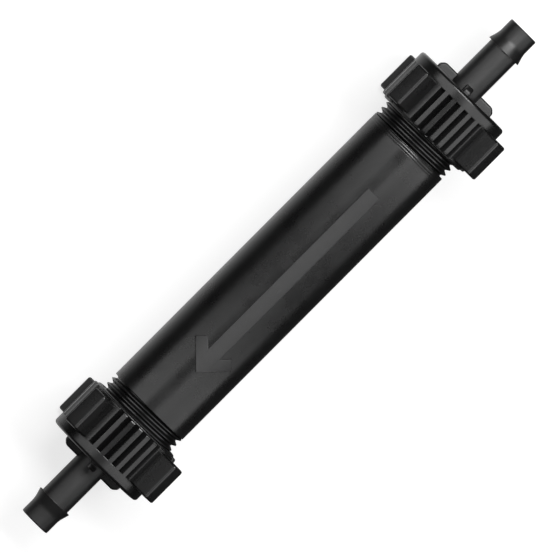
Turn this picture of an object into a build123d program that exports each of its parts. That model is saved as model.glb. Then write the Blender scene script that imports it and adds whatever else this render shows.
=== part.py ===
from build123d import *
from math import ceil, cos, radians, sin, sqrt, tan
import os

# Inline irrigation filter with barbed hose tails.
# X runs along the tube, inlet at +X and outlet at -X. +Z is up, on the side of the flow arrow.
# The origin is on the tube's axis, midway between its ends. All sizes are in millimetres.

# Housing tube
tube_radius = 16.8
plain_half_length = 65.8
thread_length = 20.1
bore_radius = 12.8

# Moulded right-hand thread. The start is the crest's place past the shoulder, along the tube's top
thread_pitch = 2.5
thread_major_radius = 16.7
thread_flank_angle = 30.0
thread_flat = thread_pitch / 6
thread_start = 1.15
thread_bury = 0.2
thread_crest_gap = 0.25
thread_flank_gap = 0.22

# Raised flow arrow
arrow_length = 90.3
arrow_shaft_width = 5.9
arrow_head_half_width = 9.4
arrow_arm_width = 4.6
arrow_height = 0.4

# Union nuts
nut_length = 21.4
nut_radius = 20.4
nut_wall_at_grooves = 2.0
nut_end_wall = 3.0
nut_rim_length = 0.7
nut_collar_length = 4.6
nut_edge_round = 1.2
nut_lead_in = 0.7
nut_hole_gap = 0.4

# Grip ribs, set out by angle round the nut
rib_pitch_angle = 10.9
groove_width = 2.07
groove_margin_angle = 14.0

# Grip lugs, at angles from the top, the same on both sides
upper_lug_angle = 45.0
lower_lug_angle = 144.0
lug_radius = 28.5
lug_width = 6.3
lug_length = 15.8
lug_start = 1.6
lug_edge_round = 0.8

# Hose tails
flange_radius = 15.2
flange_thickness = 2.3
hub_radius = 13.2
hub_length = 3.0
fin_thickness = 3.0
fin_length = 3.1
fin_chamfer = 1.6
fin_turn_angle = -5.7
neck_radius = 6.1
neck_length = 20.3
barb_radius = 7.2
barb_cone_length = 4.7
tip_radius = 6.05
tip_length = 5.7
tip_chamfer = 0.4
passage_radius = 4.4
passage_lead_radius = 4.9
funnel_radius = 9.5

# Flat gaskets between the housing's ends and the flanges
gasket_thickness = 2.0
gasket_inner_radius = 11.5
gasket_outer_radius = 15.0
face_gap = 0.1

# Screen cartridge
screen_radius = 10.0
core_wall = 1.4
mesh_thickness = 0.35
slip_gap = 0.05
collar_thickness = 3.0
collar_radius = 13.5
collar_seat_gap = 0.2
spigot_length = 9.0
spigot_gap = 0.3
socket_depth = 5.0
o_ring_section = 1.5
o_ring_groove_width = 1.8
cap_thickness = 3.0
cap_wall = 0.6
cap_foot_width = 2.4
inlet_chamber_length = 22.0

# Windows in the cage and openings in the mesh
core_bar_width = 3.0
core_hoop_width = 3.0
core_window_rows = 8
core_window_columns = 4
mesh_rows = 10
mesh_columns = 12
mesh_hoop_width = 2.6
mesh_strand_width = 1.6

# Places along the axis that follow from the sizes above, measured from the middle
housing_end = plain_half_length + thread_length
gasket_start = housing_end + face_gap
flange_start = gasket_start + gasket_thickness
flange_end = flange_start + flange_thickness
nut_shoulder = flange_end + face_gap
nut_end = nut_shoulder + nut_end_wall
nut_start = nut_end - nut_length
hub_end = flange_end + hub_length
barb_start = hub_end + neck_length
cone_end = barb_start + barb_cone_length
tail_end = cone_end + tip_length

# Thread and nut radii that follow
flank_slope = tan(radians(thread_flank_angle))
thread_depth = (thread_pitch - 2 * thread_flat) / (2 * flank_slope)
thread_root_radius = thread_major_radius - thread_depth
nut_bore_radius = thread_major_radius + thread_crest_gap
nut_thread_radius = thread_root_radius + thread_crest_gap
nut_groove_radius = nut_bore_radius + nut_wall_at_grooves
ridge_start = plain_half_length + thread_start - thread_pitch
nut_hole_radius = hub_radius + nut_hole_gap

# Screen places that follow, from the outlet end towards the inlet
collar_face = -housing_end
collar_shoulder = collar_face + collar_thickness
collar_end = collar_shoulder + spigot_length
core_start = collar_end - socket_depth
core_end = housing_end - inlet_chamber_length
mesh_start = collar_end + slip_gap
mesh_end = core_end - socket_depth
spigot_radius = bore_radius - spigot_gap
core_inner_radius = screen_radius - core_wall
mesh_outer_radius = screen_radius + slip_gap + mesh_thickness
cap_radius = screen_radius + slip_gap + cap_wall

os.makedirs("parts", exist_ok=True)


def male_ridge_width(radius):
    """Axial width of the housing's thread ridge at a radius."""
    return thread_flat + 2 * (thread_major_radius - radius) * flank_slope


def nut_ridge_width(radius):
    """Axial width of the nut's thread ridge: the housing's groove less a gap at each flank."""
    return thread_pitch - male_ridge_width(radius) - 2 * thread_flank_gap / cos(radians(thread_flank_angle))


def helical_ridge(base_radius, base_width, crest_radius, crest_width, start, length):
    """A ridge of trapezium section on a right-hand helix about X."""
    with BuildPart() as ridge:
        with BuildLine() as path:
            Helix(thread_pitch, length, base_radius, center=(start, 0, 0), direction=(1, 0, 0))
        begin = path.line @ 0
        section_plane = Plane(origin=begin, x_dir=(0, begin.Y, begin.Z), z_dir=path.line % 0)
        with BuildSketch(section_plane):
            with BuildLine():
                Polyline(
                    (0, -base_width / 2),
                    (crest_radius - base_radius, -crest_width / 2),
                    (crest_radius - base_radius, crest_width / 2),
                    (0, base_width / 2),
                    close=True,
                )
            make_face()
        sweep(path=path.line, is_frenet=True)
    return ridge.part


def turned(points):
    """A solid of revolution about X from (x, radius) points."""
    with BuildPart() as body:
        with BuildSketch(Plane.XZ):
            with BuildLine():
                Polyline(*points, close=True)
            make_face()
        revolve(axis=Axis.X)
    return body.part


def ring(start, end, inner_radius, outer_radius):
    """A plain ring about X between two places on the axis."""
    return turned([(start, inner_radius), (start, outer_radius), (end, outer_radius), (end, inner_radius)])


def male_thread():
    """The thread on the housing's inlet end, chamfered at its free end."""
    base_radius = thread_root_radius - thread_bury
    ridge = helical_ridge(
        base_radius,
        male_ridge_width(base_radius),
        thread_major_radius,
        thread_flat,
        ridge_start,
        thread_length + 2 * thread_pitch,
    )
    with BuildPart() as thread:
        add(ridge)
        add(
            turned(
                [
                    (ridge_start - thread_pitch, bore_radius),
                    (ridge_start - thread_pitch, nut_bore_radius),
                    (housing_end - thread_depth, nut_bore_radius),
                    (housing_end, thread_root_radius),
                    (housing_end, bore_radius),
                ]
            ),
            mode=Mode.INTERSECT,
        )
    return thread.part


# Housing: a tube with a threaded spigot at each end and the flow arrow on top
with BuildPart() as arrow:
    with BuildSketch(Plane.XY):
        with BuildLine():
            arm = arrow_arm_width / sqrt(2)
            tip = -arrow_length / 2
            notch = tip + arrow_shaft_width / 2 + 2 * arm
            side = [
                (tip + arrow_head_half_width, arrow_head_half_width),
                (tip + arrow_head_half_width + arm, arrow_head_half_width - arm),
                (notch, arrow_shaft_width / 2),
                (tip + arrow_length, arrow_shaft_width / 2),
            ]
            far_side = [(x, -y) for x, y in reversed(side)]
            Polyline((tip, 0), *side, *far_side, close=True)
        make_face()
    extrude(amount=tube_radius + arrow_height)
    add(
        ring(-plain_half_length, plain_half_length, (bore_radius + tube_radius) / 2, tube_radius + arrow_height),
        mode=Mode.INTERSECT,
    )

inlet_thread = male_thread()
with BuildPart() as housing:
    add(ring(-plain_half_length, plain_half_length, bore_radius, tube_radius))
    add(ring(-housing_end, housing_end, bore_radius, thread_root_radius))
    add(arrow.part)
    add(inlet_thread)
    add(inlet_thread, rotation=(0, 0, 180))
    seat_radius = collar_radius + collar_seat_gap
    add(ring(-housing_end, collar_shoulder, 0, seat_radius), mode=Mode.SUBTRACT)
housing.part.label = "housing"

# Grip lug: a block with rounded edges, standing at the top of the nut
with BuildPart() as lug:
    with BuildSketch(Plane.YZ.offset(nut_start + lug_start)):
        with Locations((0, (nut_groove_radius + lug_radius) / 2)):
            Rectangle(lug_width, lug_radius - nut_groove_radius)
    extrude(amount=lug_length)
    fillet(lug.faces().sort_by(Axis.Z)[-1].edges(), radius=lug_edge_round)

# Inlet nut: a ribbed union nut with an end wall that holds the tail's flange
lug_angles = [upper_lug_angle, lower_lug_angle, 360 - lower_lug_angle, 360 - upper_lug_angle]
nut_rib_start = nut_start + nut_rim_length
nut_rib_end = nut_end - nut_collar_length
nut_base_radius = nut_bore_radius + thread_bury
with BuildPart() as inlet_nut:
    add(ring(nut_start, nut_end, 0, nut_groove_radius))
    add(ring(nut_rib_start, nut_end, 0, nut_radius))
    fillet(
        inlet_nut.edges().filter_by(GeomType.CIRCLE).group_by(Axis.X)[-1].sort_by(SortBy.RADIUS)[-1],
        radius=nut_edge_round,
    )
    with BuildSketch(Plane.YZ.offset(nut_rib_start)):
        for first, second in zip(lug_angles, lug_angles[1:] + [lug_angles[0] + 360]):
            groove_count = int((second - first - 2 * groove_margin_angle) / rib_pitch_angle) + 1
            middle = 90 - (first + second) / 2
            start_angle = middle - (groove_count - 1) * rib_pitch_angle / 2
            groove_middle = (nut_groove_radius + nut_radius + nut_wall_at_grooves) / 2
            groove_height = nut_radius + nut_wall_at_grooves - nut_groove_radius
            with PolarLocations(groove_middle, groove_count, start_angle, groove_count * rib_pitch_angle):
                Rectangle(groove_height, groove_width)
    extrude(amount=nut_rib_end - nut_rib_start, mode=Mode.SUBTRACT)
    for angle in lug_angles:
        add(lug.part, rotation=(angle, 0, 0))
    add(
        turned(
            [
                (nut_start, 0),
                (nut_start, nut_bore_radius + nut_lead_in),
                (nut_start + nut_lead_in, nut_bore_radius),
                (nut_shoulder, nut_bore_radius),
                (nut_shoulder, nut_hole_radius),
                (nut_end, nut_hole_radius),
                (nut_end, 0),
            ]
        ),
        mode=Mode.SUBTRACT,
    )
    turns_before_nut = ceil((nut_start + nut_lead_in - ridge_start) / thread_pitch)
    nut_ridge_start = ridge_start + (turns_before_nut + 0.5) * thread_pitch
    nut_ridge_length = gasket_start - nut_ridge_start
    add(
        helical_ridge(
            nut_base_radius,
            nut_ridge_width(nut_base_radius),
            nut_thread_radius,
            nut_ridge_width(nut_thread_radius),
            nut_ridge_start,
            nut_ridge_length,
        )
    )
inlet_nut.part.label = "inlet_nut"

with BuildPart() as outlet_nut:
    add(inlet_nut.part, rotation=(0, 0, 180))
outlet_nut.part.label = "outlet_nut"

# Inlet tail: flange, hub, four short fins, neck and hose barb in one moulding
with BuildPart() as inlet_tail:
    with BuildSketch(Plane.YZ.offset(hub_end)):
        with PolarLocations(hub_radius / 2, 4, fin_turn_angle):
            Rectangle(hub_radius, fin_thickness)
    extrude(amount=fin_length)
    fin_end = hub_end + fin_length
    add(
        turned(
            [
                (hub_end, 0),
                (hub_end, hub_radius),
                (fin_end - fin_chamfer, hub_radius),
                (fin_end, hub_radius - fin_chamfer),
                (fin_end, 0),
            ]
        ),
        mode=Mode.INTERSECT,
    )
    add(
        turned(
            [
                (flange_start, 0),
                (flange_start, flange_radius),
                (flange_end, flange_radius),
                (flange_end, hub_radius),
                (hub_end, hub_radius),
                (hub_end, neck_radius),
                (barb_start, neck_radius),
                (barb_start, barb_radius),
                (cone_end, tip_radius),
                (tail_end - tip_chamfer, tip_radius),
                (tail_end, tip_radius - tip_chamfer),
                (tail_end, 0),
            ]
        )
    )
    add(
        turned(
            [
                (flange_start, 0),
                (flange_start, funnel_radius),
                (hub_end, passage_lead_radius),
                (fin_end, passage_radius),
                (tail_end, passage_radius),
                (tail_end, 0),
            ]
        ),
        mode=Mode.SUBTRACT,
    )
inlet_tail.part.label = "inlet_tail"

with BuildPart() as outlet_tail:
    mirror(inlet_tail.part, about=Plane.YZ)
outlet_tail.part.label = "outlet_tail"

# Gaskets: flat rings against the flanges
with BuildPart() as inlet_gasket:
    add(ring(gasket_start, flange_start, gasket_inner_radius, gasket_outer_radius))
inlet_gasket.part.label = "inlet_gasket"

with BuildPart() as outlet_gasket:
    add(ring(-flange_start, -gasket_start, gasket_inner_radius, gasket_outer_radius))
outlet_gasket.part.label = "outlet_gasket"

# Screen core: a moulded cage, with rows of windows between its hoops and bars
with BuildPart() as screen_core:
    add(ring(core_start, core_end, core_inner_radius, screen_radius))
    window_pitch = (mesh_end - mesh_start) / core_window_rows
    window_chord = 2 * screen_radius * sin(radians(180 / core_window_columns)) - core_bar_width
    core_middle = (mesh_start + mesh_end) / 2
    for column in range(core_window_columns // 2):
        with BuildSketch(Plane.XY.rotated((column * 360 / core_window_columns, 0, 0))):
            with Locations((core_middle, 0)):
                with GridLocations(window_pitch, 0, core_window_rows, 1):
                    Rectangle(window_pitch - core_hoop_width, window_chord)
        extrude(amount=tube_radius, both=True, mode=Mode.SUBTRACT)
screen_core.part.label = "screen_core"

# Screen mesh: a thin sleeve on the cage, pierced all over
with BuildPart() as screen_mesh:
    add(ring(mesh_start, mesh_end - slip_gap, screen_radius + slip_gap, mesh_outer_radius))
    opening_pitch = (mesh_end - mesh_start) / mesh_rows
    opening_chord = 2 * mesh_outer_radius * sin(radians(180 / mesh_columns)) - mesh_strand_width
    for column in range(mesh_columns // 2):
        with BuildSketch(Plane.XY.rotated((column * 360 / mesh_columns, 0, 0))):
            with Locations((core_middle, 0)):
                with GridLocations(opening_pitch, 0, mesh_rows, 1):
                    Rectangle(opening_pitch - mesh_hoop_width, opening_chord)
        extrude(amount=tube_radius, both=True, mode=Mode.SUBTRACT)
screen_mesh.part.label = "screen_mesh"

# Screen collar: the outlet end fitting, with a seat flange, a grooved spigot and a socket for the cage
o_ring_radius = spigot_radius - o_ring_section / 2 + spigot_gap - slip_gap
o_ring_place = (collar_shoulder + collar_end) / 2 - o_ring_section
with BuildPart() as screen_collar:
    add(ring(collar_face, collar_shoulder, core_inner_radius, collar_radius))
    add(ring(collar_shoulder, collar_end, core_inner_radius, spigot_radius))
    add(ring(core_start, collar_end, 0, screen_radius + slip_gap), mode=Mode.SUBTRACT)
    add(
        ring(
            o_ring_place - o_ring_groove_width / 2,
            o_ring_place + o_ring_groove_width / 2,
            o_ring_radius - o_ring_section / 2 - slip_gap,
            bore_radius,
        ),
        mode=Mode.SUBTRACT,
    )
screen_collar.part.label = "screen_collar"

with BuildPart() as screen_o_ring:
    with BuildSketch(Plane.XZ):
        with Locations((o_ring_place, o_ring_radius)):
            Circle(o_ring_section / 2)
    revolve(axis=Axis.X)
screen_o_ring.part.label = "screen_o_ring"

# Screen cap: the closed inlet end fitting, with four feet that centre it in the bore
with BuildPart() as screen_cap:
    with BuildSketch(Plane.YZ.offset(mesh_end)):
        with PolarLocations(spigot_radius / 2, 4):
            Rectangle(spigot_radius, cap_foot_width)
    extrude(amount=core_end + cap_thickness - mesh_end)
    add(ring(mesh_end, core_end + cap_thickness, 0, cap_radius))
    add(ring(mesh_end, core_end, 0, screen_radius + slip_gap), mode=Mode.SUBTRACT)
screen_cap.part.label = "screen_cap"

for piece in (
    housing,
    inlet_nut,
    outlet_nut,
    inlet_tail,
    outlet_tail,
    inlet_gasket,
    outlet_gasket,
    screen_core,
    screen_mesh,
    screen_collar,
    screen_o_ring,
    screen_cap,
):
    export_step(piece.part, f"parts/{piece.part.label}.step")
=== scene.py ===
import math

import bpy
from mathutils import Matrix, Vector


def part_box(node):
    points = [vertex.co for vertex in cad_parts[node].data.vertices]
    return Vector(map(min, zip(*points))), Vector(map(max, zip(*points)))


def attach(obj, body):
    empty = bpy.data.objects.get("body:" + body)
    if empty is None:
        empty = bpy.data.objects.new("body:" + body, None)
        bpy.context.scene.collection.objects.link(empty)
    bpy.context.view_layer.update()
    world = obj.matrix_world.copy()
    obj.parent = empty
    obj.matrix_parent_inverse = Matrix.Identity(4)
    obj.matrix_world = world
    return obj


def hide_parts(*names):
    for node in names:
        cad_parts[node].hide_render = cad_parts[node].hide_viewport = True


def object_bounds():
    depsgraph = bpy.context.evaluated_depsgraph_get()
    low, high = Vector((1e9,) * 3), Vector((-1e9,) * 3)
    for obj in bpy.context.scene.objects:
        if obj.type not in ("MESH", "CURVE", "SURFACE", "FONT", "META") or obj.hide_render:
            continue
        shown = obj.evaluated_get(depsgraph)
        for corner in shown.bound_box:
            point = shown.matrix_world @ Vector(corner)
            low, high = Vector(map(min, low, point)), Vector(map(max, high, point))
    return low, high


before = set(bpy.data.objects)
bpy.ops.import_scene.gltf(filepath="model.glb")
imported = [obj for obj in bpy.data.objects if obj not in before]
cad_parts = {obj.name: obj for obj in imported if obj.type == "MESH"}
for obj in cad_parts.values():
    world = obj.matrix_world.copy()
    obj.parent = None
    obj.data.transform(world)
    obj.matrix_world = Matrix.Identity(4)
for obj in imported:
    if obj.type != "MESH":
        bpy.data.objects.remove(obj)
cad_low, cad_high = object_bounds()

# Housing tube.
# A straight black plastic tube with a thinner spigot at each end, moulded in one piece and bored right
# through. Its skin is satin, and three fine turned lines show by the inlet shoulder.
mm = 0.001
housing_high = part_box("housing")[1]
housing_end = housing_high.x
tube_radius = housing_high.y
bore_radius = 12.8 * mm
plain_half_length = 65.8 * mm
spigot_radius = 15.26 * mm
spigot_chamfer = 0.5 * mm
collar_seat_radius = 13.7 * mm
collar_seat_depth = 3.0 * mm
line_depth = 0.09 * mm
line_width = 0.35 * mm
line_places = [63.3 * mm, 64.3 * mm, 65.3 * mm]
tube_edge_round = 0.22 * mm
lathe_steps = 192
weld = 0.001 * mm
smooth_angle = 32


def pick(piece):
    """Selects one piece alone, and makes it the active one."""
    bpy.ops.object.select_all(action="DESELECT")
    piece.select_set(True)
    bpy.context.view_layer.objects.active = piece


def open_mesh(piece):
    """Opens a piece in edit mode, with all of it selected."""
    pick(piece)
    bpy.ops.object.mode_set(mode="EDIT")
    bpy.ops.mesh.select_all(action="SELECT")


def drawn_outline(name, points):
    """Draws a closed outline through points, one vertex after another."""
    bpy.ops.object.select_all(action="DESELECT")
    here = Vector(points[0])
    bpy.ops.mesh.primitive_plane_add(size=mm, location=here)
    bpy.ops.object.transform_apply(location=True, rotation=True, scale=True)
    outline = bpy.context.object
    outline.name = name
    open_mesh(outline)
    bpy.ops.mesh.select_mode(type="VERT")
    bpy.ops.mesh.merge(type="CENTER")
    for point in points[1:] + points[:1]:
        bpy.ops.mesh.extrude_region_move(TRANSFORM_OT_translate={"value": Vector(point) - here})
        here = Vector(point)
    bpy.ops.mesh.select_all(action="SELECT")
    bpy.ops.mesh.remove_doubles(threshold=weld)
    bpy.ops.object.mode_set(mode="OBJECT")
    return outline


def outward_faces(piece):
    """Merges doubled points, and turns all faces of a piece outwards."""
    open_mesh(piece)
    bpy.ops.mesh.remove_doubles(threshold=weld)
    bpy.ops.mesh.normals_make_consistent(inside=False)
    bpy.ops.object.mode_set(mode="OBJECT")


def turned_piece(name, points, steps=lathe_steps):
    """Spins a closed outline of (x, radius) points about X, as on a lathe."""
    piece = drawn_outline(name, [(x, 0, radius) for x, radius in points])
    open_mesh(piece)
    bpy.ops.mesh.spin(steps=steps, angle=2 * math.pi, center=(0, 0, 0), axis=(1, 0, 0))
    bpy.ops.object.mode_set(mode="OBJECT")
    outward_faces(piece)
    return piece


tube_outline = [
    (housing_end, bore_radius),
    (collar_seat_depth - housing_end, bore_radius),
    (collar_seat_depth - housing_end, collar_seat_radius),
    (-housing_end, collar_seat_radius),
    (-housing_end, spigot_radius - spigot_chamfer),
    (spigot_chamfer - housing_end, spigot_radius),
    (-plain_half_length, spigot_radius),
    (-plain_half_length, tube_radius),
]
for line_place in line_places:
    tube_outline += [
        (line_place - line_width / 2, tube_radius),
        (line_place, tube_radius - line_depth),
        (line_place + line_width / 2, tube_radius),
    ]
tube_outline += [
    (plain_half_length, tube_radius),
    (plain_half_length, spigot_radius),
    (housing_end - spigot_chamfer, spigot_radius),
    (housing_end, spigot_radius - spigot_chamfer),
]
tube = turned_piece("tube", tube_outline)


def apply_modifier(piece, kind, **settings):
    """Adds one modifier to a piece, sets it and applies it."""
    pick(piece)
    bpy.ops.object.modifier_add(type=kind)
    modifier = piece.modifiers[-1]
    for setting, value in settings.items():
        setattr(modifier, setting, value)
    bpy.ops.object.modifier_apply(modifier=modifier.name)


def soften_edges(piece, width, segments=3, sharpest=28, clamped=True):
    """Rounds edges sharper than an angle in degrees. A clamped round stops where it would meet another."""
    apply_modifier(
        piece,
        "BEVEL",
        width=width,
        segments=segments,
        limit_method="ANGLE",
        angle_limit=math.radians(sharpest),
        use_clamp_overlap=clamped,
    )
    bpy.ops.object.shade_smooth_by_angle(angle=math.radians(smooth_angle))


soften_edges(tube, tube_edge_round, sharpest=60)


def moulded_plastic(name, shade, roughness, grain=0.25, marks=0.5, grain_scale=2600.0):
    """Black moulded plastic: satin, with a fine skin, soft blotches and thin pale scuffs."""
    material = bpy.data.materials.new(name)
    material.use_nodes = True
    nodes = material.node_tree.nodes
    links = material.node_tree.links
    shader = nodes["Principled BSDF"]
    shader.inputs["IOR"].default_value = 1.58
    shader.inputs["Specular IOR Level"].default_value = 0.6

    # Soft blotches, about a centimetre across, where the melt flowed unevenly.
    place = nodes.new("ShaderNodeTexCoord")
    blotches = nodes.new("ShaderNodeTexNoise")
    blotches.inputs["Scale"].default_value = 90.0
    blotches.inputs["Detail"].default_value = 6.0
    blotches.inputs["Roughness"].default_value = 0.62
    links.new(place.outputs["Object"], blotches.inputs["Vector"])

    # Thin scuffs, drawn out along the filter.
    stretch = nodes.new("ShaderNodeMapping")
    stretch.inputs["Scale"].default_value = (0.35, 2.2, 2.2)
    links.new(place.outputs["Object"], stretch.inputs["Vector"])
    scuffs = nodes.new("ShaderNodeTexNoise")
    scuffs.inputs["Scale"].default_value = 420.0
    scuffs.inputs["Detail"].default_value = 4.0
    links.new(stretch.outputs["Vector"], scuffs.inputs["Vector"])
    scuff_mask = nodes.new("ShaderNodeMapRange")
    scuff_mask.inputs["From Min"].default_value = 0.66
    scuff_mask.inputs["From Max"].default_value = 0.78
    links.new(scuffs.outputs["Fac"], scuff_mask.inputs["Value"])
    scuff_amount = nodes.new("ShaderNodeMath")
    scuff_amount.operation = "MULTIPLY"
    scuff_amount.inputs[1].default_value = marks
    links.new(scuff_mask.outputs["Result"], scuff_amount.inputs[0])

    # The blotches lie a little under and over the plain shade, and the scuffs well over it.
    colour = nodes.new("ShaderNodeMixRGB")
    colour.inputs["Color1"].default_value = (shade * 0.8, shade * 0.8, shade * 0.82, 1)
    colour.inputs["Color2"].default_value = (shade * 1.25, shade * 1.25, shade * 1.27, 1)
    links.new(blotches.outputs["Fac"], colour.inputs["Fac"])
    worn = nodes.new("ShaderNodeMixRGB")
    worn.inputs["Color2"].default_value = (shade * 3.2, shade * 3.2, shade * 3.2, 1)
    links.new(scuff_amount.outputs["Value"], worn.inputs["Fac"])
    links.new(colour.outputs["Color"], worn.inputs["Color1"])
    links.new(worn.outputs["Color"], shader.inputs["Base Color"])

    # The gloss follows the blotches.
    gloss = nodes.new("ShaderNodeMapRange")
    gloss.inputs["From Min"].default_value = 0.3
    gloss.inputs["From Max"].default_value = 0.7
    gloss.inputs["To Min"].default_value = roughness - 0.03
    gloss.inputs["To Max"].default_value = roughness + 0.04
    links.new(blotches.outputs["Fac"], gloss.inputs["Value"])
    links.new(gloss.outputs["Result"], shader.inputs["Roughness"])

    # The fine grain that the mould's steel leaves.
    skin = nodes.new("ShaderNodeTexNoise")
    skin.inputs["Scale"].default_value = grain_scale
    skin.inputs["Detail"].default_value = 3.0
    links.new(place.outputs["Object"], skin.inputs["Vector"])
    bump = nodes.new("ShaderNodeBump")
    bump.inputs["Strength"].default_value = grain
    bump.inputs["Distance"].default_value = 0.05 * mm
    links.new(skin.outputs["Fac"], bump.inputs["Height"])
    links.new(bump.outputs["Normal"], shader.inputs["Normal"])
    return material


tube_plastic = moulded_plastic("tube_plastic", shade=0.004, roughness=0.28)
tube.data.materials.append(tube_plastic)

# Threads of the housing.
# Right-hand threads with a 60 degree section, one on each spigot, for the nuts to screw on to.
# They are moulded with the tube, so they have its plastic.
thread_pitch = 2.5 * mm
thread_crest_radius = 16.7 * mm
thread_flat = thread_pitch / 6
flank_angle = math.radians(30)
thread_slope = math.tan(flank_angle)
thread_place = 1.15 * mm
thread_bury = 0.2 * mm
shoulder_bury = 0.02 * mm
crest_round = 0.09 * mm
thread_steps = 144
thread_smooth_angle = 20
cut_tolerance = 0.0001 * mm


def cut_flat(piece, place, cut_side):
    """Saws a piece off square at a place on X and closes the cut. The side that goes is 1 or -1."""
    open_mesh(piece)
    bpy.ops.mesh.bisect(
        plane_co=(place, 0, 0),
        plane_no=(cut_side, 0, 0),
        use_fill=True,
        clear_outer=True,
        threshold=cut_tolerance,
    )
    bpy.ops.object.mode_set(mode="OBJECT")


def wound_ridge(name, first_place, start, end, base_radius, base_width, crest_radius, crest_width):
    """Winds a thread's ridge about X from the top, right-handed, and saws both ends off square."""
    half_flat = crest_width / 2 - crest_round
    half_shoulder = crest_width / 2 + crest_round * thread_slope
    shoulder_radius = crest_radius - math.copysign(crest_round, crest_radius - base_radius)
    section = [
        (first_place - base_width / 2, 0, base_radius),
        (first_place - half_shoulder, 0, shoulder_radius),
        (first_place - half_flat, 0, crest_radius),
        (first_place + half_flat, 0, crest_radius),
        (first_place + half_shoulder, 0, shoulder_radius),
        (first_place + base_width / 2, 0, base_radius),
    ]
    ridge = drawn_outline(name, section)
    apply_modifier(
        ridge,
        "SCREW",
        axis="X",
        angle=2 * math.pi,
        screw_offset=thread_pitch,
        iterations=math.ceil((end - first_place) / thread_pitch) + 1,
        steps=thread_steps,
        render_steps=thread_steps,
    )
    open_mesh(ridge)
    bpy.ops.mesh.remove_doubles(threshold=weld)
    bpy.ops.mesh.fill_holes(sides=0)
    bpy.ops.object.mode_set(mode="OBJECT")
    outward_faces(ridge)
    cut_flat(ridge, start, -1)
    cut_flat(ridge, end, 1)
    outward_faces(ridge)
    bpy.ops.object.shade_smooth_by_angle(angle=math.radians(thread_smooth_angle))
    return ridge


first_ridge_place = plain_half_length + thread_place - thread_pitch
ridge_base_radius = spigot_radius - thread_bury
inlet_thread = wound_ridge(
    "inlet_thread",
    first_ridge_place,
    start=plain_half_length - shoulder_bury,
    end=housing_end - spigot_chamfer,
    base_radius=ridge_base_radius,
    base_width=thread_flat + 2 * (thread_crest_radius - ridge_base_radius) * thread_slope,
    crest_radius=thread_crest_radius,
    crest_width=thread_flat,
)


def turned_copy(piece, name, turn):
    """Copies a piece with its own mesh, and turns the copy about the origin by angles in radians."""
    pick(piece)
    bpy.ops.object.duplicate()
    twin = bpy.context.object
    twin.name = name
    twin.rotation_euler = turn
    bpy.ops.object.transform_apply(location=False, rotation=True, scale=False)
    return twin


half_turn = (0, 0, math.pi)
outlet_thread = turned_copy(inlet_thread, "outlet_thread", half_turn)
for thread in (inlet_thread, outlet_thread):
    thread.data.materials.append(tube_plastic)

# Flow arrow.
# A flat arrow that stands a little proud of the tube's top and points to the outlet. It is moulded with
# the tube, and its face is paler, with a finer and deeper grain. With it the housing is whole.
arrow_length = 90.3 * mm
arrow_shaft_width = 5.9 * mm
arrow_head_half_width = 9.4 * mm
arrow_arm_width = 4.6 * mm
arrow_height = 0.4 * mm
arrow_blank_height = tube_radius + 4 * arrow_height
arrow_edge_round = 0.3 * mm
arrow_smallest_side = 0.1 * mm
arrow_steps = 144

# One side of the arrow, from the head's outer corner to the shaft's end. The arms lie at 45 degrees.
arrow_tip = -arrow_length / 2
arm_step = arrow_arm_width / math.sqrt(2)
arrow_side = [
    (arrow_tip + arrow_head_half_width, arrow_head_half_width),
    (arrow_tip + arrow_head_half_width + arm_step, arrow_head_half_width - arm_step),
    (arrow_tip + arrow_shaft_width / 2 + 2 * arm_step, arrow_shaft_width / 2),
    (arrow_tip + arrow_length, arrow_shaft_width / 2),
]
arrow_outline = [(arrow_tip, 0)] + arrow_side + [(x, -y) for x, y in reversed(arrow_side)]
arrow = drawn_outline("arrow", [(x, y, 0) for x, y in arrow_outline])
open_mesh(arrow)
bpy.ops.mesh.edge_face_add()
bpy.ops.mesh.extrude_region_move(TRANSFORM_OT_translate={"value": (0, 0, arrow_blank_height)})
bpy.ops.object.mode_set(mode="OBJECT")
outward_faces(arrow)
arrow_shell = turned_piece(
    "arrow_shell",
    [
        (arrow_length, tube_radius - arrow_height),
        (-arrow_length, tube_radius - arrow_height),
        (-arrow_length, tube_radius + arrow_height),
        (arrow_length, tube_radius + arrow_height),
    ],
    arrow_steps,
)
apply_modifier(arrow, "BOOLEAN", operation="INTERSECT", solver="EXACT", object=arrow_shell)
bpy.data.objects.remove(arrow_shell)


def tidy_cuts(piece, smallest_side):
    """Merges the points that a cut leaves closer than a width, and drops faces that shrink to nothing."""
    open_mesh(piece)
    bpy.ops.mesh.remove_doubles(threshold=smallest_side)
    bpy.ops.mesh.dissolve_degenerate(threshold=weld)
    bpy.ops.object.mode_set(mode="OBJECT")


tidy_cuts(arrow, arrow_smallest_side)
soften_edges(arrow, arrow_edge_round, segments=2, sharpest=35, clamped=False)
arrow_plastic = moulded_plastic("arrow_plastic", shade=0.015, roughness=0.6, grain=1.0, grain_scale=3400.0)
arrow.data.materials.append(arrow_plastic)


def joined(name, pieces):
    """Joins pieces into the first one, and leaves it picked."""
    pick(pieces[0])
    for piece in pieces[1:]:
        piece.select_set(True)
    bpy.ops.object.join()
    pieces[0].name = name
    return pieces[0]


def keep_faces_flat(piece):
    """Lets the large faces of a piece set its shading, so that the small rounded edges don't pull on it."""
    apply_modifier(piece, "WEIGHTED_NORMAL", keep_sharp=True, weight=50)


housing = joined("housing_moulding", [tube, inlet_thread, outlet_thread, arrow])
keep_faces_flat(housing)
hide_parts("housing")
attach(housing, "housing")

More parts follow.
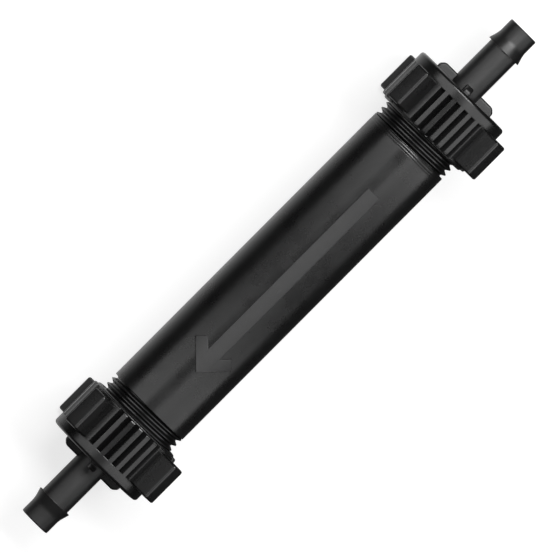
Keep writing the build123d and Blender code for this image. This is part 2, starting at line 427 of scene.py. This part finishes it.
# Union nuts.
# Black moulded nuts that draw the tails and their gaskets on to the housing. This is the plain body of the
# inlet's nut, with the rim at its mouth, the wall that holds the tail and the smooth collar round that end.
nut_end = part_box("inlet_nut")[1].x
nut_length = 21.4 * mm
nut_wall = 3.0 * mm
nut_start = nut_end - nut_length
nut_shoulder = nut_end - nut_wall
nut_hole_radius = 13.6 * mm
nut_bore_radius = 16.95 * mm
nut_core_radius = 18.3 * mm
nut_lead_in = 0.7 * mm
nut_edge_round = 0.15 * mm
rim_length = 0.7 * mm
rim_radius = 18.95 * mm
rim_chamfer = 0.5 * mm
rim_inner_round = 0.5 * mm
collar_length = 4.6 * mm
collar_radius = 20.4 * mm
collar_round = 1.2 * mm
collar_inner_round = 0.55 * mm
bar_start = nut_start + rim_length
bar_end = nut_end - collar_length


def quarter_oval(place, radius, length, depth, first_angle, steps=6):
    """Points of a quarter oval about (place, radius), from an angle: -90 towards -X, 0 outwards."""
    points = []
    for step in range(steps + 1):
        turn = math.radians(first_angle + 90 * step / steps)
        points.append((place + length * math.sin(turn), radius + depth * math.cos(turn)))
    return points


rim_inside = quarter_oval(bar_start, nut_core_radius, rim_inner_round, rim_radius - nut_core_radius, 0)
collar_inside = quarter_oval(
    bar_end + collar_inner_round,
    collar_radius - collar_inner_round,
    collar_inner_round,
    collar_inner_round,
    -90,
)
collar_outside = quarter_oval(
    nut_end - collar_round,
    collar_radius - collar_round,
    collar_round,
    collar_round,
    0,
)
nut_outline = [
    (nut_start + nut_lead_in, nut_bore_radius),
    (nut_start, nut_bore_radius + nut_lead_in),
    (nut_start, rim_radius - rim_chamfer),
    (nut_start + rim_chamfer, rim_radius),
]
nut_outline += rim_inside + [(bar_end, nut_core_radius)] + collar_inside + collar_outside
nut_outline += [
    (nut_end, nut_hole_radius),
    (nut_shoulder, nut_hole_radius),
    (nut_shoulder, nut_bore_radius),
]
nut_core = turned_piece("nut_core", nut_outline)
soften_edges(nut_core, nut_edge_round, segments=2)
nut_plastic = moulded_plastic("nut_plastic", shade=0.0045, roughness=0.27, grain=0.18)
nut_core.data.materials.append(nut_plastic)

# Grip bars of the nuts.
# A ring round the body with V grooves along it, which leave bars for the fingers. It is moulded with the
# nut. The grooves stop short of each lug, and the bars are rounded off towards the rim.
lug_angles = [45.0, 144.0, 216.0, 315.0]
groove_pitch_angle = 10.9
groove_margin_angle = 14.0
groove_mouth_half_width = 1.42 * mm
groove_floor_radius = 18.4 * mm
grip_blank_radius = 21.0 * mm
grip_bore_radius = 17.8 * mm
bar_radius = 20.39 * mm
bar_end_length = 1.0 * mm
bar_end_depth = 0.45 * mm
bar_edge_round = 0.05 * mm
grip_smallest_side = 0.03 * mm
bar_top_steps = 3
land_steps = 12

groove_angles = []
for lug_angle, next_lug_angle in zip(lug_angles, lug_angles[1:] + [lug_angles[0] + 360]):
    room = next_lug_angle - lug_angle - 2 * groove_margin_angle
    groove_count = int(room / groove_pitch_angle) + 1
    first_groove = (lug_angle + next_lug_angle) / 2 - (groove_count - 1) * groove_pitch_angle / 2
    groove_angles += [first_groove + number * groove_pitch_angle for number in range(groove_count)]


def on_spoke(place, sideways, outwards, angle):
    """The point at a place on X, a distance out along a spoke at an angle, and sideways from that spoke."""
    turn = math.radians(angle)
    return (
        place,
        -outwards * math.sin(turn) - sideways * math.cos(turn),
        outwards * math.cos(turn) - sideways * math.sin(turn),
    )


# The blank's outline goes down and up each groove, then round to the next one.
groove_half_angle = math.degrees(math.asin(groove_mouth_half_width / grip_blank_radius))
groove_lip = math.sqrt(grip_blank_radius**2 - groove_mouth_half_width**2)
grip_outline = []
for angle, next_angle in zip(groove_angles, groove_angles[1:] + [groove_angles[0] + 360]):
    grip_outline += [
        on_spoke(nut_start, -groove_mouth_half_width, groove_lip, angle),
        on_spoke(nut_start, 0, groove_floor_radius, angle),
        on_spoke(nut_start, groove_mouth_half_width, groove_lip, angle),
    ]
    span = next_angle - angle - 2 * groove_half_angle
    steps = bar_top_steps if span < groove_pitch_angle else land_steps
    for step in range(1, steps):
        turn = angle + groove_half_angle + span * step / steps
        grip_outline.append(on_spoke(nut_start, 0, grip_blank_radius, turn))
grip = drawn_outline("grip", grip_outline)
bpy.ops.object.select_all(action="DESELECT")
bpy.ops.mesh.primitive_circle_add(
    vertices=lathe_steps,
    radius=grip_bore_radius,
    location=(nut_start, 0, 0),
    rotation=(0, math.radians(90), 0),
)
bpy.ops.object.transform_apply(location=True, rotation=True, scale=True)
grip = joined("grip", [grip, bpy.context.object])
open_mesh(grip)
bpy.ops.mesh.fill()
bpy.ops.mesh.extrude_region_move(TRANSFORM_OT_translate={"value": (nut_length, 0, 0)})
bpy.ops.object.mode_set(mode="OBJECT")
outward_faces(grip)

# A turned form trims the blank to the bars' length and height, and rounds their ends.
bar_rounding = quarter_oval(
    bar_start + bar_end_length,
    bar_radius - bar_end_depth,
    bar_end_length,
    bar_end_depth,
    -90,
)
grip_form_outline = [(bar_start, nut_bore_radius)] + bar_rounding
grip_form_outline += [
    (bar_end + collar_inner_round, bar_radius),
    (bar_end + collar_inner_round, nut_bore_radius),
]
grip_form = turned_piece("grip_form", grip_form_outline)
apply_modifier(grip, "BOOLEAN", operation="INTERSECT", solver="EXACT", object=grip_form)
bpy.data.objects.remove(grip_form)
tidy_cuts(grip, grip_smallest_side)
soften_edges(grip, bar_edge_round, segments=2, sharpest=36, clamped=False)
grip.data.materials.append(nut_plastic)

# Lugs of the nuts.
# Four flat lugs that stand out from the body, to turn the nut by hand. They are moulded with it, and all
# their edges are well rounded.
lug_radius = 28.5 * mm
lug_width = 6.3 * mm
lug_length = 15.8 * mm
lug_setback = 1.6 * mm
lug_start = nut_start + lug_setback
lug_edge_round = 0.8 * mm
bpy.ops.object.select_all(action="DESELECT")
bpy.ops.mesh.primitive_cube_add(
    size=1.0,
    location=(lug_start + lug_length / 2, 0, (nut_core_radius + lug_radius) / 2),
    scale=(lug_length, lug_width, lug_radius - nut_core_radius),
)
bpy.ops.object.transform_apply(location=True, rotation=True, scale=True)
first_lug = bpy.context.object
soften_edges(first_lug, lug_edge_round, segments=4)
first_lug.data.materials.append(nut_plastic)
lugs = [turned_copy(first_lug, "lug", (math.radians(angle), 0, 0)) for angle in lug_angles]
bpy.data.objects.remove(first_lug)

# Threads of the nuts.
# A right-hand thread inside each nut, moulded with it, which runs with a little play in the groove of the
# housing's thread. With it the nut is whole, and the outlet's nut is the same one turned end for end.
nut_thread_gap = 0.25 * mm
nut_thread_relief = 5.12 * mm
flank_play = 0.22 * mm
nut_flank_gap = flank_play / math.cos(flank_angle)
nut_crest_radius = spigot_radius + nut_thread_gap
nut_base_radius = nut_bore_radius + thread_bury


def nut_ridge_width(radius):
    """How wide the nut's ridge is at a radius: the housing's groove there, less a gap at each flank."""
    groove_width = thread_pitch - thread_flat - 2 * (thread_crest_radius - radius) * thread_slope
    return groove_width - 2 * nut_flank_gap


turns_before_nut = math.ceil((nut_start + nut_lead_in - first_ridge_place) / thread_pitch)
nut_thread = wound_ridge(
    "nut_thread",
    first_ridge_place + (turns_before_nut + 0.5) * thread_pitch,
    start=nut_start + nut_lead_in,
    end=nut_shoulder - nut_thread_relief,
    base_radius=nut_base_radius,
    base_width=nut_ridge_width(nut_base_radius),
    crest_radius=nut_crest_radius,
    crest_width=nut_ridge_width(nut_crest_radius),
)
nut_thread.data.materials.append(nut_plastic)

inlet_nut = joined("inlet_union_nut", [nut_core, grip, nut_thread] + lugs)
outlet_nut = turned_copy(inlet_nut, "outlet_union_nut", half_turn)
for end, nut in (("inlet", inlet_nut), ("outlet", outlet_nut)):
    keep_faces_flat(nut)
    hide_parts(f"{end}_nut")
    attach(nut, f"{end}_nut")

# Hose tails.
# Black moulded spigots for 13 mm hose. The nut's end wall holds each by its flange, the hub turns in the
# nut's hole, and a plain neck carries the barb. The water runs down the middle.
tail_start, tail_end = (corner.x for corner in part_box("inlet_tail"))
flange_radius = 15.2 * mm
flange_thickness = 2.3 * mm
flange_end = tail_start + flange_thickness
hub_radius = 13.2 * mm
hub_length = 3.0 * mm
hub_end = flange_end + hub_length
neck_radius = 6.1 * mm
neck_length = 20.3 * mm
barb_start = hub_end + neck_length
barb_radius = 7.2 * mm
cone_length = 4.7 * mm
cone_end = barb_start + cone_length
cone_hollow = 0.14 * mm
tip_radius = 6.05 * mm
tip_chamfer = 0.35 * mm
passage_radius = 4.4 * mm
passage_lead_radius = 4.9 * mm
passage_lead_length = 3.1 * mm
passage_start = hub_end + passage_lead_length
funnel_radius = 9.5 * mm
tail_edge_round = 0.12 * mm

# The barb's cone is a little hollow, most at two thirds of its length.
cone_middle = ((barb_start + 2 * cone_end) / 3, (barb_radius + 2 * tip_radius) / 3 - cone_hollow)
tail_outline = [
    (tail_start, funnel_radius),
    (tail_start, flange_radius),
    (flange_end, flange_radius),
    (flange_end, hub_radius),
    (hub_end, hub_radius),
    (hub_end, neck_radius),
    (barb_start, neck_radius),
    (barb_start, barb_radius),
    cone_middle,
    (cone_end, tip_radius),
    (tail_end - tip_chamfer, tip_radius),
    (tail_end, tip_radius - tip_chamfer),
    (tail_end, passage_radius),
    (passage_start, passage_radius),
    (hub_end, passage_lead_radius),
]
tail = turned_piece("tail", tail_outline)
soften_edges(tail, tail_edge_round, segments=2)
tail_plastic = moulded_plastic("tail_plastic", shade=0.005, roughness=0.4)
tail.data.materials.append(tail_plastic)

# Fins of the hose tails.
# Four short thick fins on each hub, moulded with the tail, that brace its neck. With them the tail is
# whole, and the outlet's tail is its mirror image.
fin_thickness = 3.0 * mm
fin_length = 3.1 * mm
fin_chamfer = 1.6 * mm
fin_edge_round = 0.75 * mm
fin_turn_angle = -5.7
fin_bury = 0.8 * mm
fin_root_radius = neck_radius - fin_bury
fin_end = hub_end + fin_length
fin_outline = [
    (flange_end, fin_root_radius),
    (flange_end, hub_radius),
    (fin_end - fin_chamfer, hub_radius),
    (fin_end, hub_radius - fin_chamfer),
    (fin_end, fin_root_radius),
]
first_fin = drawn_outline("fin", [(x, -fin_thickness / 2, radius) for x, radius in fin_outline])
open_mesh(first_fin)
bpy.ops.mesh.edge_face_add()
bpy.ops.mesh.extrude_region_move(TRANSFORM_OT_translate={"value": (0, fin_thickness, 0)})
bpy.ops.object.mode_set(mode="OBJECT")
outward_faces(first_fin)
soften_edges(first_fin, fin_edge_round, segments=4)
first_fin.data.materials.append(tail_plastic)
fin_angles = [fin_turn_angle + 90 * quarter for quarter in range(4)]
fins = [turned_copy(first_fin, "fin", (math.radians(angle), 0, 0)) for angle in fin_angles]
bpy.data.objects.remove(first_fin)

inlet_tail = joined("inlet_hose_tail", [tail] + fins)
pick(inlet_tail)
bpy.ops.object.duplicate()
outlet_tail = bpy.context.object
outlet_tail.name = "outlet_hose_tail"
outlet_tail.scale.x = -1
bpy.ops.object.transform_apply(location=False, rotation=False, scale=True)
outward_faces(outlet_tail)
for end, hose_tail in (("inlet", inlet_tail), ("outlet", outlet_tail)):
    keep_faces_flat(hose_tail)
    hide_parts(f"{end}_tail")
    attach(hose_tail, f"{end}_tail")

# Gaskets and O-ring.
# Flat black rubber washers, squeezed between the tube's ends and the flanges, and a rubber ring in the
# collar's groove. All three are moulded, with a matt skin that holds a little dust.
seal_rubber = bpy.data.materials.new("seal_rubber")
seal_rubber.use_nodes = True
rubber_nodes = seal_rubber.node_tree.nodes
rubber_links = seal_rubber.node_tree.links
rubber_shader = rubber_nodes["Principled BSDF"]
rubber_shader.inputs["Specular IOR Level"].default_value = 0.35
rubber_place = rubber_nodes.new("ShaderNodeTexCoord")
dust = rubber_nodes.new("ShaderNodeTexNoise")
dust.inputs["Scale"].default_value = 900.0
dust.inputs["Detail"].default_value = 5.0
rubber_links.new(rubber_place.outputs["Object"], dust.inputs["Vector"])
rubber_colour = rubber_nodes.new("ShaderNodeValToRGB")
rubber_colour.color_ramp.elements[0].position = 0.35
rubber_colour.color_ramp.elements[0].color = (0.016, 0.016, 0.016, 1)
rubber_colour.color_ramp.elements[1].position = 0.8
rubber_colour.color_ramp.elements[1].color = (0.05, 0.049, 0.047, 1)
rubber_links.new(dust.outputs["Fac"], rubber_colour.inputs["Fac"])
rubber_links.new(rubber_colour.outputs["Color"], rubber_shader.inputs["Base Color"])
rubber_gloss = rubber_nodes.new("ShaderNodeMapRange")
rubber_gloss.inputs["To Min"].default_value = 0.6
rubber_gloss.inputs["To Max"].default_value = 0.85
rubber_links.new(dust.outputs["Fac"], rubber_gloss.inputs["Value"])
rubber_links.new(rubber_gloss.outputs["Result"], rubber_shader.inputs["Roughness"])
rubber_bump = rubber_nodes.new("ShaderNodeBump")
rubber_bump.inputs["Strength"].default_value = 0.3
rubber_bump.inputs["Distance"].default_value = 0.05 * mm
rubber_links.new(dust.outputs["Fac"], rubber_bump.inputs["Height"])
rubber_links.new(rubber_bump.outputs["Normal"], rubber_shader.inputs["Normal"])
for node in ("inlet_gasket", "outlet_gasket", "screen_o_ring"):
    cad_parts[node].material_slots[0].material = seal_rubber

# Screen cage.
# A moulded cage of dark grey plastic that carries the screen down the tube's middle. It has a clipped-on
# cap at the inlet end, and a collar that seats in the tube's outlet end.
cage_plastic = moulded_plastic("cage_plastic", shade=0.05, roughness=0.42, marks=0.2)
for node in ("screen_core", "screen_collar", "screen_cap"):
    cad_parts[node].material_slots[0].material = cage_plastic

# Screen sleeve.
# Fine cloth of pale plastic threads, woven into a sleeve and drawn over the cage. One set of threads runs
# along the sleeve and the other round it, and the higher one shows where they cross.
thread_spacing = 0.4 * mm
sleeve_radius = 10.4 * mm
mesh_cloth = bpy.data.materials.new("mesh_cloth")
mesh_cloth.use_nodes = True
cloth_nodes = mesh_cloth.node_tree.nodes
cloth_links = mesh_cloth.node_tree.links
cloth_shader = cloth_nodes["Principled BSDF"]
cloth_shader.inputs["Roughness"].default_value = 0.5
cloth_place = cloth_nodes.new("ShaderNodeTexCoord")
cloth_axes = cloth_nodes.new("ShaderNodeSeparateXYZ")
cloth_links.new(cloth_place.outputs["Object"], cloth_axes.inputs["Vector"])
round_sleeve = cloth_nodes.new("ShaderNodeMath")
round_sleeve.operation = "ARCTAN2"
cloth_links.new(cloth_axes.outputs["Y"], round_sleeve.inputs[0])
cloth_links.new(cloth_axes.outputs["Z"], round_sleeve.inputs[1])
waves = []
for source, scale in (
    (round_sleeve.outputs["Value"], sleeve_radius * 2 * math.pi / thread_spacing),
    (cloth_axes.outputs["X"], 2 * math.pi / thread_spacing),
):
    phase = cloth_nodes.new("ShaderNodeMath")
    phase.operation = "MULTIPLY"
    phase.inputs[1].default_value = scale
    cloth_links.new(source, phase.inputs[0])
    wave = cloth_nodes.new("ShaderNodeMath")
    wave.operation = "COSINE"
    cloth_links.new(phase.outputs["Value"], wave.inputs[0])
    waves.append(wave.outputs["Value"])
weave = cloth_nodes.new("ShaderNodeMath")
weave.operation = "MAXIMUM"
cloth_links.new(waves[0], weave.inputs[0])
cloth_links.new(waves[1], weave.inputs[1])
thread_height = cloth_nodes.new("ShaderNodeMapRange")
thread_height.inputs["From Min"].default_value = -1.0
cloth_links.new(weave.outputs["Value"], thread_height.inputs["Value"])
cloth_colour = cloth_nodes.new("ShaderNodeMixRGB")
cloth_colour.inputs["Color1"].default_value = (0.16, 0.16, 0.15, 1)
cloth_colour.inputs["Color2"].default_value = (0.55, 0.55, 0.52, 1)
cloth_links.new(thread_height.outputs["Result"], cloth_colour.inputs["Fac"])
cloth_links.new(cloth_colour.outputs["Color"], cloth_shader.inputs["Base Color"])
cloth_bump = cloth_nodes.new("ShaderNodeBump")
cloth_bump.inputs["Distance"].default_value = 0.08 * mm
cloth_links.new(weave.outputs["Value"], cloth_bump.inputs["Height"])
cloth_links.new(cloth_bump.outputs["Normal"], cloth_shader.inputs["Normal"])
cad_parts["screen_mesh"].material_slots[0].material = mesh_cloth

# Camera.
# It looks down on the filter through a long lens, leaning a little to the side and to the inlet's end, and
# is rolled so that the filter lies from the lower left of the picture to the upper right.
pixel = 0.3575 * mm
photo_width = 554
sensor_width = 36.0
lens = 1300.0
camera_reach = 20.0
side_lean = math.radians(11.2)
inlet_lean = math.radians(1.2)
roll = math.radians(45.0877)
pixels_right = 2.0
pixels_up = 0.75
camera_distance = lens * photo_width * pixel / sensor_width
along = Vector((1, 0, 0))
overhead = Vector((0, math.sin(side_lean), math.cos(side_lean)))
across = Vector((0, -math.cos(side_lean), math.sin(side_lean)))
towards_camera = overhead * math.cos(inlet_lean) + along * math.sin(inlet_lean)
level = along * math.cos(inlet_lean) - overhead * math.sin(inlet_lean)
picture_right = level * math.cos(roll) + across * math.sin(roll)
picture_up = level * math.sin(roll) - across * math.cos(roll)
aim = -pixel * (pixels_right * picture_right + pixels_up * picture_up)
bpy.ops.object.select_all(action="DESELECT")
bpy.ops.object.camera_add()
camera = bpy.context.object
camera.name = "camera"


def stand(thing, place, right, up, back):
    """Stands a camera or a lamp at a place, with its own three axes along the given ones."""
    thing.matrix_world = Matrix.Translation(place) @ Matrix((right, up, back)).transposed().to_4x4()


stand(camera, aim + towards_camera * camera_distance, picture_right, picture_up, towards_camera)
camera.data.sensor_width = sensor_width
camera.data.lens = lens
camera.data.clip_end = camera_reach
bpy.context.scene.camera = camera
bpy.context.scene.view_settings.view_transform = "Standard"

# Floor.
# White paper under the filter, on which its shadow falls. To reflections the floor shows a painted
# reflection instead: a bright strip with painted shade under the filter, fading to dark on both sides,
# which paints the light and dark bands along the tube.
floor_size = 12.0
mirrored_from = -50.0
mirrored_to = 200.0
# Painted reflection: floor shades that only the glossy plastic sees, with painted shade under the filter
# and on both sides.
painted_reflection_shades = [
    (-50.0, 0.03),
    (0.0, 0.12),
    (15.0, 1.0),
    (27.5, 0.9),
    (40.0, 0.68),
    (70.0, 0.26),
    (100.0, 0.08),
    (150.0, 0.02),
]
bpy.ops.object.select_all(action="DESELECT")
bpy.ops.mesh.primitive_plane_add(size=floor_size, location=(0, 0, cad_low.z))
floor = bpy.context.object
floor.name = "floor"
paper = bpy.data.materials.new("paper")
paper.use_nodes = True
paper_nodes = paper.node_tree.nodes
paper_links = paper.node_tree.links
paper_nodes.remove(paper_nodes["Principled BSDF"])

# Painted reflection and painted shade: what the plastic mirrors, by the distance from the tube's axis in
# millimetres along Y, dim under the filter, brightest just beside it and dark further off.
floor_place = paper_nodes.new("ShaderNodeTexCoord")
floor_axes = paper_nodes.new("ShaderNodeSeparateXYZ")
paper_links.new(floor_place.outputs["Object"], floor_axes.inputs["Vector"])
strip = paper_nodes.new("ShaderNodeMapRange")
strip.inputs["From Min"].default_value = mirrored_from * mm
strip.inputs["From Max"].default_value = mirrored_to * mm
paper_links.new(floor_axes.outputs["Y"], strip.inputs["Value"])
painted_reflection_ramp = paper_nodes.new("ShaderNodeValToRGB")
stops = painted_reflection_ramp.color_ramp.elements
ready_stops = len(stops)
for number, (distance, shade) in enumerate(painted_reflection_shades):
    position = (distance - mirrored_from) / (mirrored_to - mirrored_from)
    stop = stops[number] if number < ready_stops else stops.new(position)
    stop.position = position
    stop.color = (shade, shade, shade, 1)
paper_links.new(strip.outputs["Result"], painted_reflection_ramp.inputs["Fac"])
painted_reflection_floor = paper_nodes.new("ShaderNodeBsdfDiffuse")
paper_links.new(painted_reflection_ramp.outputs["Color"], painted_reflection_floor.inputs["Color"])

# What the camera sees: paper that takes the shadow, lifted to white.
shaded_paper = paper_nodes.new("ShaderNodeBsdfDiffuse")
shaded_paper.inputs["Color"].default_value = (0.42, 0.42, 0.42, 1)
white_paper = paper_nodes.new("ShaderNodeEmission")
white_paper.inputs["Strength"].default_value = 0.72
bright_paper = paper_nodes.new("ShaderNodeAddShader")
paper_links.new(shaded_paper.outputs["BSDF"], bright_paper.inputs[0])
paper_links.new(white_paper.outputs["Emission"], bright_paper.inputs[1])
seen_by_camera = paper_nodes.new("ShaderNodeLightPath")
paper_mix = paper_nodes.new("ShaderNodeMixShader")
paper_links.new(seen_by_camera.outputs["Is Camera Ray"], paper_mix.inputs["Fac"])
paper_links.new(painted_reflection_floor.outputs["BSDF"], paper_mix.inputs[1])
paper_links.new(bright_paper.outputs["Shader"], paper_mix.inputs[2])
paper_links.new(paper_mix.outputs["Shader"], paper_nodes["Material Output"].inputs["Surface"])
floor.data.materials.append(paper)

# Lamps and surroundings.
# Soft square-on panels. Two pairs stand close by, one pair on each side of the filter, with a gap at its
# middle, and one broad panel hangs further off over the inlet's end. The room round them is dim.
near_distance = 0.35
main_distance = 3.0
room_level = 0.03


def soft_lamp(name, sideways, lengthways, distance, width, length, brightness):
    """A panel lamp aimed at the filter's middle, leaning by two angles in degrees from overhead."""
    lean = math.radians(sideways)
    tip = math.radians(lengthways)
    away = (overhead * math.cos(lean) + across * math.sin(lean)) * math.cos(tip) + along * math.sin(tip)
    long_side = (along - away * along.dot(away)).normalized()
    short_side = away.cross(long_side)
    bpy.ops.object.select_all(action="DESELECT")
    bpy.ops.object.light_add(type="AREA")
    lamp = bpy.context.object
    lamp.name = name
    stand(lamp, away * distance, long_side, short_side, away)
    lamp.data.shape = "RECTANGLE"
    lamp.data.size = length
    lamp.data.size_y = width
    lamp.data.energy = brightness * length * width * math.pi


soft_lamp("near_lamp_left", 56, -14, near_distance, width=0.54, length=0.077, brightness=1.55)
soft_lamp("near_lamp_right", 56, 15, near_distance, width=0.54, length=0.09, brightness=1.8)
soft_lamp("far_lamp_left", -35, -14, near_distance, width=0.31, length=0.077, brightness=1.6)
soft_lamp("far_lamp_right", -35, 15, near_distance, width=0.31, length=0.09, brightness=1.8)
soft_lamp("main_lamp", 8, 23, main_distance, width=2.6, length=0.63, brightness=14.0)

room = bpy.data.worlds.new("studio")
room.use_nodes = True
bpy.context.scene.world = room
room_nodes = room.node_tree.nodes
room_links = room.node_tree.links
backdrop = room_nodes["Background"]
backdrop.inputs["Color"].default_value = (1, 1, 1, 1)
seen_room = room_nodes.new("ShaderNodeLightPath")
backdrop_level = room_nodes.new("ShaderNodeMapRange")
backdrop_level.inputs["To Min"].default_value = room_level
backdrop_level.inputs["To Max"].default_value = 1.0
room_links.new(seen_room.outputs["Is Camera Ray"], backdrop_level.inputs["Value"])
room_links.new(backdrop_level.outputs["Result"], backdrop.inputs["Strength"])
